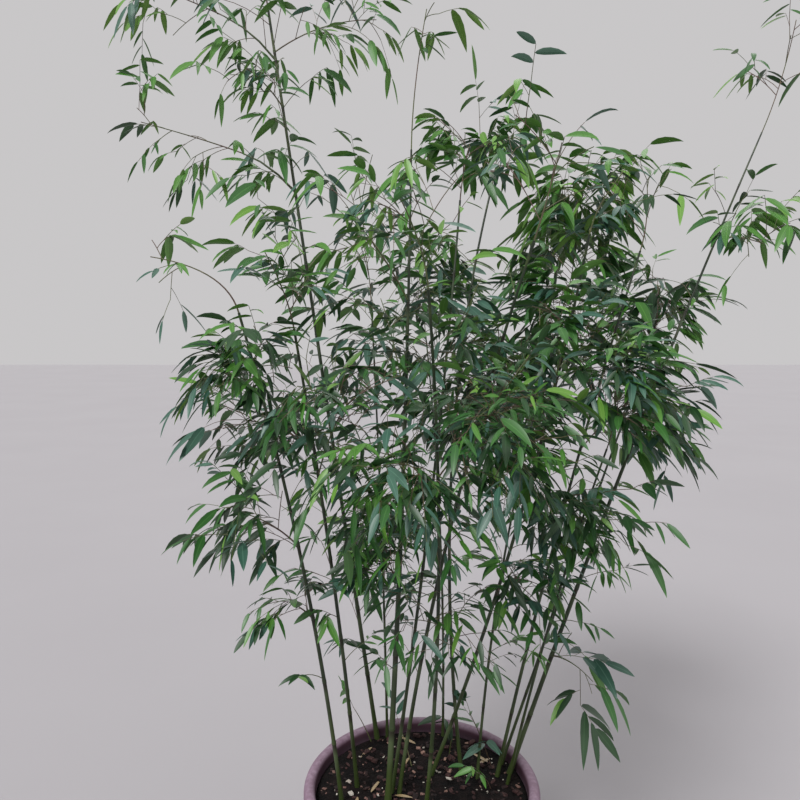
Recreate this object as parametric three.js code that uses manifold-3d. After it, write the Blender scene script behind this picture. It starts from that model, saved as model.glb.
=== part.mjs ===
import * as THREE from "three";
import { mergeVertices } from "three/addons/utils/BufferGeometryUtils.js";
import Module from "manifold-3d";

// A clump of bamboo in a round pot: sixteen canes stand in the soil and carry two bare boughs
// and forty masses of twigs and leaves.
// Millimetres, Z up, with the origin in the middle of the pot's flat underside.

const wasm = await Module();
wasm.setup();

// What touches in the real plant stands this far apart
const gap = 0.3;

// Edges shorter than this, which the fusing leaves, are closed up
const shortestEdge = 0.02;

const pot = {
  height: 400,
  lipRadius: 260,
  lipDepth: 30,
  lipRound: 7,
  mouthRadius: 235,
  baseRadius: 188,
  wall: 8,
  floor: 12,
  sides: 36,
  drainHoles: 4,
  drainRadius: 9,
  drainCircle: 105,
};

const soil = { top: 375, rimDip: 6, flatRadius: 226 };

// A cane's radius falls to this share of itself at its tip, and its foot flares by the second
const caneForm = { tipShare: 0.55, flare: 0.3, flareReach: 0.02, sides: 6, steps: 5 };
const boughForm = { tipShare: 0.85, sides: 5, steps: 4 };
const stemForm = { mostRadius: 3.2, tipShare: 0.75, sides: 3, steps: 4 };
const twigForm = { radiusShare: 0.48, tipShare: 0.85, sides: 3, steps: 1 };

// A side limb is thinner than its cane by this, where it leaves it
const sideShare = 0.85;

// Leaves are larger than life, because each one stands for a small fan of them
const leafForm = { shortest: 85, perSpread: 0.6, widthShare: 0.2, thicknessShare: 0.02, widestAt: 0.34, arch: 0.07 };

// Twigs turn round their stem by this angle from one to the next
const goldenAngle = THREE.MathUtils.degToRad(137.5);
const sideLeaves = 2;

// What has no room is tried shorter, and a leaf also on the other side, before it is skipped
const twigTries = [1, 0.7, 0.45, 0.25];
const leafTries = [[1, 1], [-1, 1], [1, 0.8], [-1, 0.8], [1, 0.62], [-1, 0.62]];

// A leaf or twig keeps this far inside its mass's own space, and this far from every cane
const spaceMargin = 3;
const leafClearance = 11;
const twigClearance = 3;
const leafSpacing = 20;

// Each cane: where its foot stands, where it bends to, where it ends, and its radius.
// Its boughs and masses: name, share of the cane's length where it starts, heading in degrees
// from +X, reach in plan, rise to its end, spread of its twigs and number of twigs.
// A bough's own mass grows on from its end.
const canes = [
  {
    name: "left", foot: [-173, -49], bend: [-225, -85, 915], tip: [-350, -150, 1425], radius: 4.6,
    masses: [
      ["left_top", 1, -170, 155, 100, 65, 5],
      ["left_upper", 0.86, -85, 100, 60, 90, 5],
      ["left_low", 0.55, -155, 110, 80, 100, 5],
      ["left_lowest", 0.4, -170, 50, 40, 70, 2],
    ],
  },
  {
    name: "left_inner", foot: [-144, 11], bend: [-180, -45, 890], tip: [-250, -130, 1395], radius: 4.6,
    masses: [
      ["left_inner_top", 1, -140, 60, 140, 120, 5],
      ["left_inner_side", 0.76, 150, 180, 50, 130, 6],
      ["left_inner_front", 0.71, -70, 260, 180, 130, 6],
    ],
  },
  {
    name: "tall", foot: [-105, 196], bend: [-230, 210, 1255], tip: [-355, 230, 2145], radius: 5.4,
    boughs: [
      ["tall_left", 0.76, 172, 130, 95, ["tall_far_left", -152, 225, 40, 80, 5]],
      ["tall_high", 0.93, 178, 120, 100, ["tall_high_left", -168, 185, 60, 90, 5]],
    ],
    masses: [
      ["tall_top", 1, 170, 120, 160, 100, 5],
      ["tall_high_right", 0.94, 10, 240, 90, 90, 5],
      ["tall_high_front", 0.87, -130, 110, 60, 80, 5],
    ],
  },
  {
    name: "back_left", foot: [-80, 205], bend: [-90, 235, 920], tip: [-120, 290, 1470], radius: 3.4,
    masses: [["back_left_top", 1, 150, 60, 270, 140, 6]],
  },
  {
    name: "thick", foot: [-74, -45], bend: [-35, -35, 1065], tip: [-25, -20, 1755], radius: 6.6,
    masses: [
      ["whip", 1, 0, 30, 270, 60, 2],
      ["thick_left", 0.78, -145, 140, 160, 140, 6],
      ["thick_right", 0.62, -45, 170, 150, 140, 7],
      ["thick_back", 0.63, 110, 160, 220, 140, 6],
      ["thick_low", 0.36, -160, 75, 60, 85, 5],
    ],
  },
  {
    name: "fan_front", foot: [-50, -20], bend: [20, -90, 965], tip: [190, -210, 1550], radius: 4.5,
    masses: [["fan_front_top", 1, -40, 50, 160, 135, 7]],
  },
  {
    name: "fan_back", foot: [-66, -16], bend: [35, 55, 1030], tip: [90, 170, 1690], radius: 4.2,
    masses: [["fan_back_top", 1, 40, 30, 130, 130, 6]],
  },
  {
    name: "front", foot: [8, -62], bend: [50, -145, 910], tip: [0, -280, 1460], radius: 4.5,
    masses: [
      ["front_top", 1, -145, 70, 160, 130, 6],
      ["front_left", 0.61, -120, 190, 160, 125, 7],
      ["front_right", 0.69, -60, 200, 120, 125, 7],
      ["front_low", 0.4, -100, 75, 50, 90, 5],
    ],
  },
  {
    name: "middle", foot: [94, 58], bend: [15, 150, 1095], tip: [175, 300, 1730], radius: 4.5,
    masses: [
      ["middle_top", 1, 0, 20, 120, 110, 5],
      ["middle_side", 0.51, 55, 220, 200, 140, 6],
    ],
  },
  {
    name: "back", foot: [60, 205], bend: [70, 270, 885], tip: [20, 375, 1380], radius: 3.3,
    masses: [["back_top", 1, 115, 40, 190, 150, 6]],
  },
  {
    name: "leaning", foot: [23, 47], bend: [230, 5, 960], tip: [325, -70, 1580], radius: 4.5,
    masses: [
      ["leaning_top", 1, -30, 60, 110, 130, 6],
      ["leaning_left", 0.66, -80, 150, 250, 140, 7],
      ["leaning_right", 0.5, -65, 210, 120, 130, 6],
      ["leaning_low", 0.38, -60, 85, 60, 90, 5],
    ],
  },
  {
    name: "back_right", foot: [128, 36], bend: [175, 135, 925], tip: [365, 290, 1470], radius: 3.4,
    masses: [["back_right_top", 1, 60, 70, 270, 140, 8]],
  },
  {
    name: "right_inner", foot: [175, 47], bend: [300, 75, 965], tip: [490, 120, 1570], radius: 4.2,
    masses: [
      ["right_inner_top", 1, 0, 10, 150, 120, 6],
      ["right_inner_left", 0.72, 110, 100, 230, 140, 7],
      ["right_inner_right", 0.63, -15, 120, 120, 140, 6],
    ],
  },
  {
    name: "right_back", foot: [190, 88], bend: [375, 170, 865], tip: [585, 310, 1345], radius: 3.8,
    masses: [["right_back_top", 1, 60, 80, 180, 90, 6]],
  },
  {
    name: "right_front", foot: [195, 20], bend: [260, -45, 790], tip: [350, -140, 1165], radius: 3.4,
    masses: [["right_front_top", 1, -100, 50, 180, 100, 7]],
  },
  {
    name: "right", foot: [206, 60], bend: [445, 80, 1105], tip: [745, 110, 1825], radius: 5.4,
    masses: [
      ["right_top", 1, 10, 70, 240, 100, 6],
      ["right_side", 0.84, -50, 100, -20, 90, 4],
      ["right_lowest", 0.19, -55, 90, 0, 80, 3],
    ],
  },
];

const potMaterial = new THREE.MeshStandardMaterial({ color: 0xa08495, roughness: 0.65, metalness: 0 });
const soilMaterial = new THREE.MeshStandardMaterial({ color: 0x2b2420, roughness: 1, metalness: 0 });
const caneMaterial = new THREE.MeshStandardMaterial({ color: 0x4b5a2e, roughness: 0.5, metalness: 0 });
const leafMaterial = new THREE.MeshStandardMaterial({ color: 0x36602f, roughness: 0.55, metalness: 0 });

const up = new THREE.Vector3(0, 0, 1);
const east = new THREE.Vector3(1, 0, 0);
const group = new THREE.Group();

function seeded(seed) {
  let state = seed;
  return () => {
    state = (state * 1664525 + 1013904223) % 4294967296;
    return state / 4294967296;
  };
}

// The closed solid of a geometry, without the triangles that a collapsed ring leaves behind
function solidOf(geometry) {
  geometry.deleteAttribute("normal");
  geometry.deleteAttribute("uv");
  const merged = mergeVertices(geometry, 1e-4);
  const vertProperties = new Float32Array(merged.attributes.position.array);
  const corners = Array.from(merged.index.array);
  const kept = [];
  for (let i = 0; i < corners.length; i += 3) {
    const [a, b, c] = corners.slice(i, i + 3);
    if (a !== b && b !== c && c !== a) {
      kept.push(a, b, c);
    }
  }
  return new wasm.Manifold(new wasm.Mesh({ numProp: 3, vertProperties, triVerts: new Uint32Array(kept) }));
}

function addNode(name, solid, material) {
  const { vertProperties, triVerts } = solid.getMesh();
  const geometry = new THREE.BufferGeometry();
  geometry.setAttribute("position", new THREE.BufferAttribute(vertProperties, 3));
  geometry.setIndex(new THREE.BufferAttribute(triVerts, 1));
  const mesh = new THREE.Mesh(geometry, material.clone());
  mesh.name = name;
  group.add(mesh);
}

// A turned body from its half outline, with its axis on Z
function turned(outline, sides) {
  const points = outline.map(([radius, height]) => new THREE.Vector2(radius, height));
  return solidOf(new THREE.LatheGeometry(points, sides).rotateX(Math.PI / 2));
}

// Moves each corner of an upright unit prism, given its place in the ring and the ring's number
function shaped(sides, rings, place) {
  const geometry = new THREE.CylinderGeometry(1, 1, 1, sides, rings);
  const { position } = geometry.attributes;
  for (let i = 0; i < position.count; i += 1) {
    const ring = Math.round((position.getY(i) + 0.5) * rings);
    const point = place(position.getX(i), position.getZ(i), ring);
    position.setXYZ(i, point.x, point.y, point.z);
  }
  return solidOf(geometry);
}

// A blade's widest ring has its two edges and a ridge above them
function widestRing(blade, x, z) {
  const { root, direction, across, length } = blade;
  const normal = new THREE.Vector3().crossVectors(across, direction);
  const point = root.clone().addScaledVector(direction, length * leafForm.widestAt);
  point.addScaledVector(across, Math.round(x) * length * leafForm.widthShare * 0.5);
  return point.addScaledVector(normal, length * (leafForm.arch + (z > 0.5 ? leafForm.thicknessShare : 0)));
}

function bladeTip({ root, direction, length }) {
  return root.clone().addScaledVector(direction, length);
}

// A leaf by itself runs from a point inside its twig to its tip
function leaf(blade) {
  return shaped(3, 2, (x, z, ring) => [blade.root, widestRing(blade, x, z), bladeTip(blade)][ring]);
}

// A limb is a prism bent along its curve, which narrows as radiusAt says and may end in a blade
function limb(curve, radiusAt, { sides, steps }, { flatFoot = false, blade = null } = {}) {
  const side = blade ? blade.across.clone() : squareTo(curve);
  return shaped(sides, blade ? steps + 2 : steps, (x, z, ring) => {
    if (ring > steps) {
      return ring === steps + 1 ? widestRing(blade, x, z) : bladeTip(blade);
    }
    const share = ring / steps;
    const onward = curve.getTangent(share);
    const over = new THREE.Vector3().crossVectors(side, onward).normalize();
    const level = new THREE.Vector3().crossVectors(onward, over);
    const point = curve.getPoint(share);
    point.addScaledVector(level, x * radiusAt(share)).addScaledVector(over, z * radiusAt(share));
    if (flatFoot && ring === 0) {
      point.z = curve.v0.z;
    }
    return point;
  });
}

// A point on the straight pieces that a limb's steps leave of its curve
function pointOn(curve, steps, share) {
  const ring = Math.min(Math.floor(share * steps), steps - 1);
  const point = curve.getPoint(ring / steps);
  return point.lerp(curve.getPoint((ring + 1) / steps), share * steps - ring);
}

// A direction square to the plane that the curve bends in
function squareTo(curve) {
  const side = curve.v1.clone().sub(curve.v0).cross(curve.v2.clone().sub(curve.v1));
  if (side.length() < 1) {
    side.copy(curve.v2).sub(curve.v0).cross(Math.abs(curve.getTangent(0).z) > 0.9 ? east : up);
  }
  return side.normalize();
}

function taper(radius, tipShare) {
  return (share) => radius * (1 + (tipShare - 1) * share);
}

function caneRadius(radius) {
  const along = taper(radius, caneForm.tipShare);
  return (share) => along(share) * (1 + caneForm.flare * Math.exp(-share / caneForm.flareReach));
}

// A curve that leaves start along the heading, arches and ends at its reach and rise
function arching(start, heading, reach, rise) {
  const angle = THREE.MathUtils.degToRad(heading);
  const outward = new THREE.Vector3(Math.cos(angle), Math.sin(angle), 0);
  const end = start.clone().addScaledVector(outward, reach).addScaledVector(up, rise);
  const bend = start.clone().addScaledVector(outward, reach * 0.45);
  bend.addScaledVector(up, rise * 0.5 + reach * 0.16);
  return new THREE.QuadraticBezierCurve3(start, bend, end);
}

// A curve that grows on from the end of another one and turns to its own heading
function growingOn(curve, heading, reach, rise) {
  const angle = THREE.MathUtils.degToRad(heading);
  const outward = new THREE.Vector3(Math.cos(angle), Math.sin(angle), 0);
  const onward = curve.getTangent(1);
  const start = curve.v2.clone().addScaledVector(onward, gap);
  const end = start.clone().addScaledVector(outward, reach).addScaledVector(up, rise);
  const bend = start.clone().addScaledVector(onward, Math.hypot(reach, rise) * 0.45);
  return new THREE.QuadraticBezierCurve3(start, bend, end);
}

function distanceTo(line, point) {
  let nearest = Infinity;
  const closest = new THREE.Vector3();
  for (const piece of line) {
    piece.closestPointToPoint(point, true, closest);
    nearest = Math.min(nearest, closest.distanceTo(point));
  }
  return nearest;
}

function lineOf(curve, pieces) {
  const points = curve.getPoints(pieces);
  return points.slice(1).map((point, i) => new THREE.Line3(points[i], point));
}

function buildPot() {
  const { height, lipRadius, lipDepth, lipRound, mouthRadius, baseRadius, wall, floor } = pot;
  const under = height - lipDepth;
  const neck = mouthRadius + wall;
  let solid = turned([
    [0, 0],
    [baseRadius, 0],
    [neck, under],
    [lipRadius - lipRound, under],
    [lipRadius, under + lipRound],
    [lipRadius, height - lipRound],
    [lipRadius - lipRound, height],
    [mouthRadius + lipRound, height],
    [mouthRadius, height - lipRound],
    [mouthRadius, under],
    [baseRadius - wall, floor],
    [0, floor],
  ], pot.sides);
  for (let i = 0; i < pot.drainHoles; i += 1) {
    const angle = (i * 2 * Math.PI) / pot.drainHoles;
    const hole = new THREE.CylinderGeometry(pot.drainRadius, pot.drainRadius, 4 * floor, 8);
    hole.rotateX(Math.PI / 2);
    hole.translate(Math.cos(angle) * pot.drainCircle, Math.sin(angle) * pot.drainCircle, 0);
    solid = solid.subtract(solidOf(hole));
  }
  addNode("pot", solid, potMaterial);
}

function buildSoil() {
  const { mouthRadius, baseRadius, wall, floor, sides } = pot;
  // Measured square to the sloping wall, this leaves the gap
  const clear = gap * 1.15;
  const fill = turned([
    [0, floor + gap],
    [baseRadius - wall - clear, floor + gap],
    [mouthRadius - clear, soil.top - soil.rimDip],
    [soil.flatRadius, soil.top],
    [0, soil.top],
  ], sides);
  addNode("soil", fill, soilMaterial);
}

const spaces = [];
const shafts = [];

function planMass(name, spread, twigs, curve, radius, host) {
  spaces.push({ name, spread, twigs, curve, radius, host, line: lineOf(curve, 10) });
}

function planCane({ name, foot, bend, tip, radius, boughs = [], masses }) {
  const curve = new THREE.QuadraticBezierCurve3(
    new THREE.Vector3(foot[0], foot[1], soil.top + gap),
    new THREE.Vector3(...bend),
    new THREE.Vector3(...tip),
  );
  const radiusAt = caneRadius(radius);
  const grown = (share) => radiusAt(share) + gap / Math.cos(Math.PI / caneForm.sides);
  const seat = limb(curve, grown, caneForm);
  addNode(`cane_${name}`, limb(curve, radiusAt, caneForm, { flatFoot: true }), caneMaterial);
  shafts.push({ line: lineOf(curve, 16), radius });
  const sideRadius = (at) => Math.min(stemForm.mostRadius, radiusAt(at) * sideShare);
  for (const [boughName, at, heading, reach, rise, mass] of boughs) {
    const boughCurve = arching(curve.getPoint(at), heading, reach, rise);
    const boughRadius = taper(sideRadius(at), boughForm.tipShare);
    addNode(`bough_${boughName}`, limb(boughCurve, boughRadius, boughForm).subtract(seat), caneMaterial);
    shafts.push({ line: lineOf(boughCurve, 8), radius: sideRadius(at) });
    const [massName, turn, massReach, massRise, spread, twigs] = mass;
    planMass(massName, spread, twigs, growingOn(boughCurve, turn, massReach, massRise), boughRadius(1));
  }
  for (const [massName, at, heading, reach, rise, spread, twigs] of masses) {
    if (at === 1) {
      planMass(massName, spread, twigs, growingOn(curve, heading, reach, rise), radiusAt(1));
    } else {
      const massCurve = arching(curve.getPoint(at), heading, reach, rise);
      planMass(massName, spread, twigs, massCurve, sideRadius(at), seat);
    }
  }
}

// A point is free if it is in the mass's own space, clear of the canes and above pot and soil
function isFree(point, mass, clearance) {
  const flat = Math.hypot(point.x, point.y);
  if (point.z < (flat < pot.lipRadius + 20 ? pot.height + 20 : 40)) {
    return false;
  }
  if (shafts.some(({ line, radius }) => distanceTo(line, point) < radius + clearance)) {
    return false;
  }
  const own = distanceTo(mass.line, point) + spaceMargin;
  return spaces.every((other) => other === mass || distanceTo(other.line, point) > own);
}

// A blade's middle line and edges are tested, and its outer part keeps clear of the mass's others
function bladeIsFree(blade, mass) {
  const { root, direction, across, length } = blade;
  const { widestAt, arch, widthShare } = leafForm;
  const normal = new THREE.Vector3().crossVectors(across, direction);
  const outer = [];
  for (const share of [0.12, 0.34, 0.56, 0.78, 1]) {
    const form = share < widestAt ? share / widestAt : (1 - share) / (1 - widestAt);
    const middle = root.clone().addScaledVector(direction, share * length);
    middle.addScaledVector(normal, form * arch * length);
    for (const sideways of form > 0.3 ? [-0.5, 0, 0.5] : [0]) {
      const point = middle.clone().addScaledVector(across, sideways * widthShare * length * form);
      if (!isFree(point, mass, leafClearance)) {
        return false;
      }
    }
    if (share >= widestAt) {
      outer.push(middle);
    }
  }
  if (outer.some((point) => mass.taken.some((other) => other.distanceTo(point) < leafSpacing))) {
    return false;
  }
  mass.taken.push(...outer);
  return true;
}

// The blade of a leaf that leaves the curve at a share of its length, or null if none has room
function findBlade(curve, steps, share, turn, mass, random) {
  const onward = curve.getTangent(share);
  const beside = new THREE.Vector3().crossVectors(onward, up).normalize();
  const droop = (share === 1 ? 0.55 : 0.85) + random();
  const length = (leafForm.shortest + leafForm.perSpread * mass.spread) * (0.85 + 0.3 * random());
  const roll = (random() - 0.5) * 1.3;
  for (const [side, size] of leafTries) {
    const direction = onward.clone().multiplyScalar(0.85).addScaledVector(beside, turn * side);
    direction.addScaledVector(up, -droop).normalize();
    const across = new THREE.Vector3().crossVectors(direction, up).normalize();
    across.applyAxisAngle(direction, roll);
    const blade = { root: pointOn(curve, steps, share), direction, across, length: length * size };
    if (bladeIsFree(blade, mass)) {
      return blade;
    }
  }
  return null;
}

// A shoot is a stem or twig that ends in a leaf, with its side leaves to alternate sides
function growShoot(curve, radiusAt, form, mass, random) {
  const last = findBlade(curve, form.steps, 1, (random() - 0.5) * 0.5, mass, random);
  const parts = [limb(curve, radiusAt, form, { blade: last })];
  for (let i = 0; i < sideLeaves; i += 1) {
    const turn = (i % 2 ? 1 : -1) * (0.5 + 0.35 * random());
    const share = 0.55 + (0.35 * i) / (sideLeaves - 1);
    const blade = findBlade(curve, form.steps, share, turn, mass, random);
    if (blade) {
      parts.push(leaf(blade));
    }
  }
  return parts;
}

function twigCurve(mass, share, turn, length) {
  const onward = mass.curve.getTangent(share);
  const side = new THREE.Vector3().crossVectors(onward, up).normalize();
  const over = new THREE.Vector3().crossVectors(side, onward);
  const direction = onward.clone().multiplyScalar(0.6);
  direction.addScaledVector(side, Math.cos(turn)).addScaledVector(over, Math.sin(turn) * 0.8);
  direction.addScaledVector(up, 0.15).normalize();
  const start = pointOn(mass.curve, stemForm.steps, share);
  const bend = start.clone().addScaledVector(direction, length * 0.5).addScaledVector(up, length * 0.06);
  const end = start.clone().addScaledVector(direction, length).addScaledVector(up, -length * 0.12);
  return new THREE.QuadraticBezierCurve3(start, bend, end);
}

function growMass(mass, seed) {
  const random = seeded(seed);
  mass.taken = [];
  const stemRadius = taper(mass.radius, stemForm.tipShare);
  const parts = growShoot(mass.curve, stemRadius, stemForm, mass, random);
  let turn = random() * 2 * Math.PI;
  for (let i = 0; i < mass.twigs; i += 1) {
    const share = 0.22 + (0.7 * i) / (mass.twigs - 1);
    const length = mass.spread * (1.15 - 0.5 * share) * (0.8 + 0.4 * random());
    turn += goldenAngle;
    const curve = twigTries.map((size) => twigCurve(mass, share, turn, length * size)).find(
      (tried) => [0.4, 0.6, 0.8, 1].every((at) => isFree(tried.getPoint(at), mass, twigClearance)),
    );
    if (curve) {
      const twigRadius = taper(stemRadius(share) * twigForm.radiusShare, twigForm.tipShare);
      parts.push(...growShoot(curve, twigRadius, twigForm, mass, random));
    }
  }
  let solid = parts.reduce((whole, part) => whole.add(part));
  if (mass.host) {
    solid = solid.subtract(mass.host);
  }
  // Only the outer skin of the largest body is kept, with no scrap, sealed hollow or tiny edge
  const bodies = solid.decompose().sort((a, b) => b.volume() - a.volume());
  addNode(`mass_${mass.name}`, bodies[0].simplify(shortestEdge), leafMaterial);
}

buildPot();
buildSoil();
canes.forEach(planCane);
spaces.forEach((mass, i) => growMass(mass, 101 + 37 * i));

export default group;
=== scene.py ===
import math
import bpy
import numpy as np
from mathutils import Euler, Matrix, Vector


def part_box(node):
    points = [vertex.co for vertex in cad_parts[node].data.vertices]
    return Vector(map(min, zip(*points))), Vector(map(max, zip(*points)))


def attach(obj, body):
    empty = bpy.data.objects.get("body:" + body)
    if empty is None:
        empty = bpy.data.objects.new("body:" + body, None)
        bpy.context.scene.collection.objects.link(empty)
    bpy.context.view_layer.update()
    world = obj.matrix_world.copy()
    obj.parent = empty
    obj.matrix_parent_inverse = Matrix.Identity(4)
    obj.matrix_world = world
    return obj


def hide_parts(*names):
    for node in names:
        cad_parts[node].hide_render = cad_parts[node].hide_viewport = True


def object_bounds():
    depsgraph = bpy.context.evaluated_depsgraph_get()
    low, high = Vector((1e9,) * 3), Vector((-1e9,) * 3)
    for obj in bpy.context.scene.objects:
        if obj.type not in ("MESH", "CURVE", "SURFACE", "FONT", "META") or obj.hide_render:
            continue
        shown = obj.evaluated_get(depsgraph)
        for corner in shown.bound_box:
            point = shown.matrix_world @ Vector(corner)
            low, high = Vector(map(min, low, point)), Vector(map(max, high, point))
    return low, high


# A clump of bamboo in a round pot. Growth is worked out in millimetres by the plan's own rule,
# and every mesh is made in metres, in the frame's place.

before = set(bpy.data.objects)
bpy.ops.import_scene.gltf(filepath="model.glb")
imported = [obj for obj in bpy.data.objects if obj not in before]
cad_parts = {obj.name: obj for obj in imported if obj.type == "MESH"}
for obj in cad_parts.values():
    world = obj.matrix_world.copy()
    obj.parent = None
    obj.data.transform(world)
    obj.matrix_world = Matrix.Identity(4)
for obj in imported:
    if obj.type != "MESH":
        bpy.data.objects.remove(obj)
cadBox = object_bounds()
bpy.ops.object.select_all(action="DESELECT")
print("bamboo: frame loaded")

mm = 0.001
norm = np.linalg.norm
up = np.array((0.0, 0.0, 1.0))
east = np.array((1.0, 0.0, 0.0))
golden = math.radians(137.5)  # from one twig to the next, round the stem


class Values(dict):  # a dictionary whose values can be read with a dot
    __getattr__ = dict.__getitem__


# Shader writing: a wire is one output socket, and its sums and products become Math nodes


def setAll(thing, settings):
    for key, value in settings.items():
        setattr(thing, key, value)


def mathNode(operation, isSwapped=False):
    def made(self, other):
        return self.math(operation, *((other, self) if isSwapped else (self, other)))

    return made


class Wire:
    __add__, __radd__ = mathNode("ADD"), mathNode("ADD", True)
    __sub__, __rsub__ = mathNode("SUBTRACT"), mathNode("SUBTRACT", True)
    __mul__ = mathNode("MULTIPLY")
    __pow__ = mathNode("POWER")

    def __init__(self, finish, socket):
        self.finish = finish
        self.socket = socket

    def math(self, operation, *values):
        return self.finish.node("ShaderNodeMath", dict(enumerate(values)), operation=operation)

    def size(self):
        return self.math("ABSOLUTE", self)

    def wave(self):  # 0 to 1 and back
        return self.math("SINE", self) * 0.5 + 0.5

    def held(self):  # kept between 0 and 1
        return self.finish.node("ShaderNodeClamp", {"Value": self})

    def ramp(self, low, high):  # 0 at low, 1 at high, smooth between
        values = {"Value": self, "From Min": low, "From Max": high}
        return self.finish.node("ShaderNodeMapRange", values, interpolation_type="SMOOTHSTEP")


class Finish:
    def __init__(self, name):
        self.material = bpy.data.materials.new(name)
        self.material.use_nodes = True
        self.tree = self.material.node_tree
        self.tree.nodes.clear()
        self.place = self.node("ShaderNodeTexCoord", {}, "Object")

    def node(self, kind, inputs, output=0, **settings):
        made = self.tree.nodes.new(kind)
        setAll(made, settings)
        for key, value in inputs.items():
            if isinstance(value, Wire):
                self.tree.links.new(value.socket, made.inputs[key])
            else:
                made.inputs[key].default_value = value
        return Wire(self, made.outputs[output]) if made.outputs else None

    def noise(self, scale, detail, rough=0.55, place=None):
        values = {"Vector": place or self.place, "Scale": scale, "Detail": detail, "Roughness": rough}
        return self.node("ShaderNodeTexNoise", values)

    def stretched(self, x, y, z):
        return self.node("ShaderNodeMapping", {"Vector": self.place, "Scale": (x, y, z)})

    def layers(self, look, first, *rows):  # colours of the look, each laid over the last by its share
        colour = tint(*look[first])
        for share, name in rows:
            values = {0: share, 6: colour, 7: tint(*look[name])}
            colour = self.node("ShaderNodeMix", values, 2, data_type="RGBA")
        return colour

    def attribute(self, name):
        return self.node("ShaderNodeAttribute", {}, "Fac", attribute_name=name)

    def parts(self, vector, axes):
        return [self.node("ShaderNodeSeparateXYZ", {"Vector": vector}, axis) for axis in axes]

    def relief(self, height, distance, strength):
        return self.node("ShaderNodeBump", {"Height": height, "Distance": distance, "Strength": strength})

    def close(self, colour, rough, relief=None, specular=0.5):
        values = {"Base Color": colour, "Roughness": rough, "Specular IOR Level": specular}
        if relief:
            values["Normal"] = relief
        shader = self.node("ShaderNodeBsdfPrincipled", values)
        self.node("ShaderNodeOutputMaterial", {"Surface": shader})
        return self.material


def tint(red, green, blue):  # a screen colour as the linear one that shaders take
    def linear(value):
        value /= 255
        return value / 12.92 if value <= 0.04045 else ((value + 0.055) / 1.055) ** 2.4

    return (linear(red), linear(green), linear(blue), 1.0)


# Finishes


def potFinish(look):
    finish = Finish("fadedMauvePot")
    x, y, z = finish.parts(finish.place, "XYZ")
    radius = (x * x + y * y) ** 0.5
    clouds = finish.noise(6.0, 4.0)
    fine = finish.noise(90.0, 3.0)
    drips = finish.noise(14.0, 4.0, 0.6, finish.stretched(1.0, 1.0, 0.12))
    faded = (clouds * 0.6 + drips * 0.5).ramp(0.42, 0.74)
    lean = (look.mouth - look.innerFoot) / look.height
    wallMiddle = z * lean + (look.innerFoot + look.foot) / 2
    # Painted shade: the inner wall is painted a darker colour where shade falls inside the pot
    inside = (wallMiddle - radius).ramp(-0.002, 0.002) * (look.height - z).ramp(0.001, 0.012)
    # Darker on the inner wall just above the soil
    aboveSoil = (z - look.soil).ramp(0.02, -0.004) * inside
    # The top of the rim is lighter: partly rubbed wear, partly a painted highlight where light falls on the
    # lip
    worn = (z - look.height).ramp(-0.012, 0.0) * fine.ramp(0.35, 0.75) * (1 - inside)
    dust = finish.noise(38.0, 5.0, 0.7).ramp(0.56, 0.72) * (0.09 - z).ramp(0.0, 0.09)
    colour = finish.layers(look, "mauve", (faded, "faded"), (inside * 0.9, "paintedInnerShade"), (aboveSoil * 0.7, "aboveSoilDark"),
                           (worn * 0.55, "worn"), (dust * 0.5, "dust"))
    rough = 0.52 + fine * 0.16 + faded * 0.12
    return finish.close(colour, rough.held(), finish.relief(fine * 0.4 + clouds, 0.0012, 0.5))


def soilFinish(name, look):
    finish = Finish(name)
    grain = finish.noise(220.0, 4.0, 0.65)
    clumps = finish.noise(38.0, 4.0)
    crumbs = finish.node("ShaderNodeTexVoronoi", {"Vector": finish.place, "Scale": 150.0})
    colour = finish.layers(look, "dark", (clumps.ramp(0.38, 0.66), "brown"),
                           (grain.ramp(0.6, 0.74) * 0.6, "fleck"))
    relief = finish.relief(grain * 0.6 + crumbs + clumps * 0.5, 0.004, 0.9)
    return finish.close(colour, (0.82 + grain * 0.16).held(), relief, 0.15)


def barkFinish(name, look):
    finish = Finish(name)
    fibres = finish.noise(160.0, 4.0, 0.6, finish.stretched(1.0, 0.3, 1.0))
    patches = finish.noise(26.0, 2.0)
    colour = finish.layers(look, "dark", (patches.ramp(0.38, 0.64), "light"),
                           (fibres.ramp(0.5, 0.72) * 0.5, "fleck"))
    return finish.close(colour, (0.7 + fibres * 0.2).held(), finish.relief(fibres, 0.001, 0.6), 0.25)


def caneFinish(look):
    finish = Finish("oliveCane")
    height, scar, bloom = (finish.attribute(name) for name in ("height", "scar", "bloom"))
    streaks = finish.noise(26.0, 3.0, 0.5, finish.stretched(6.0, 6.0, 0.45))
    patches = finish.noise(9.0, 3.0)
    # Painted light and shade along the cane: darker from low down upward, where the foliage shades it, and
    # lighter again near the top, where light falls
    colour = finish.layers(
        look, "low", ((height + (patches - 0.5) * 0.3).ramp(0.0, 0.3), "high"),
        (height.ramp(0.72, 1.0), "top"), (streaks.ramp(0.48, 0.7) * 0.35, "streak"),
        (patches.ramp(0.6, 0.72) * 0.35, "blotch"), (bloom * 0.4, "bloom"), (scar * 0.85, "scar"))
    rough = 0.34 + streaks * 0.14 + scar * 0.2 + bloom * 0.25
    return finish.close(colour, rough.held(), finish.relief(streaks, 0.0005, 0.25))


def twigFinish(look):
    finish = Finish("oliveTwig")
    patches = finish.noise(7.0, 2.0)
    streaks = finish.noise(120.0, 2.0)
    colour = finish.layers(look, "green", (patches.ramp(0.42, 0.6), "purple"),
                           (streaks.ramp(0.5, 0.7) * 0.35, "straw"))
    return finish.close(colour, (0.42 + streaks * 0.2).held(), finish.relief(streaks, 0.0004, 0.4))


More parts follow.
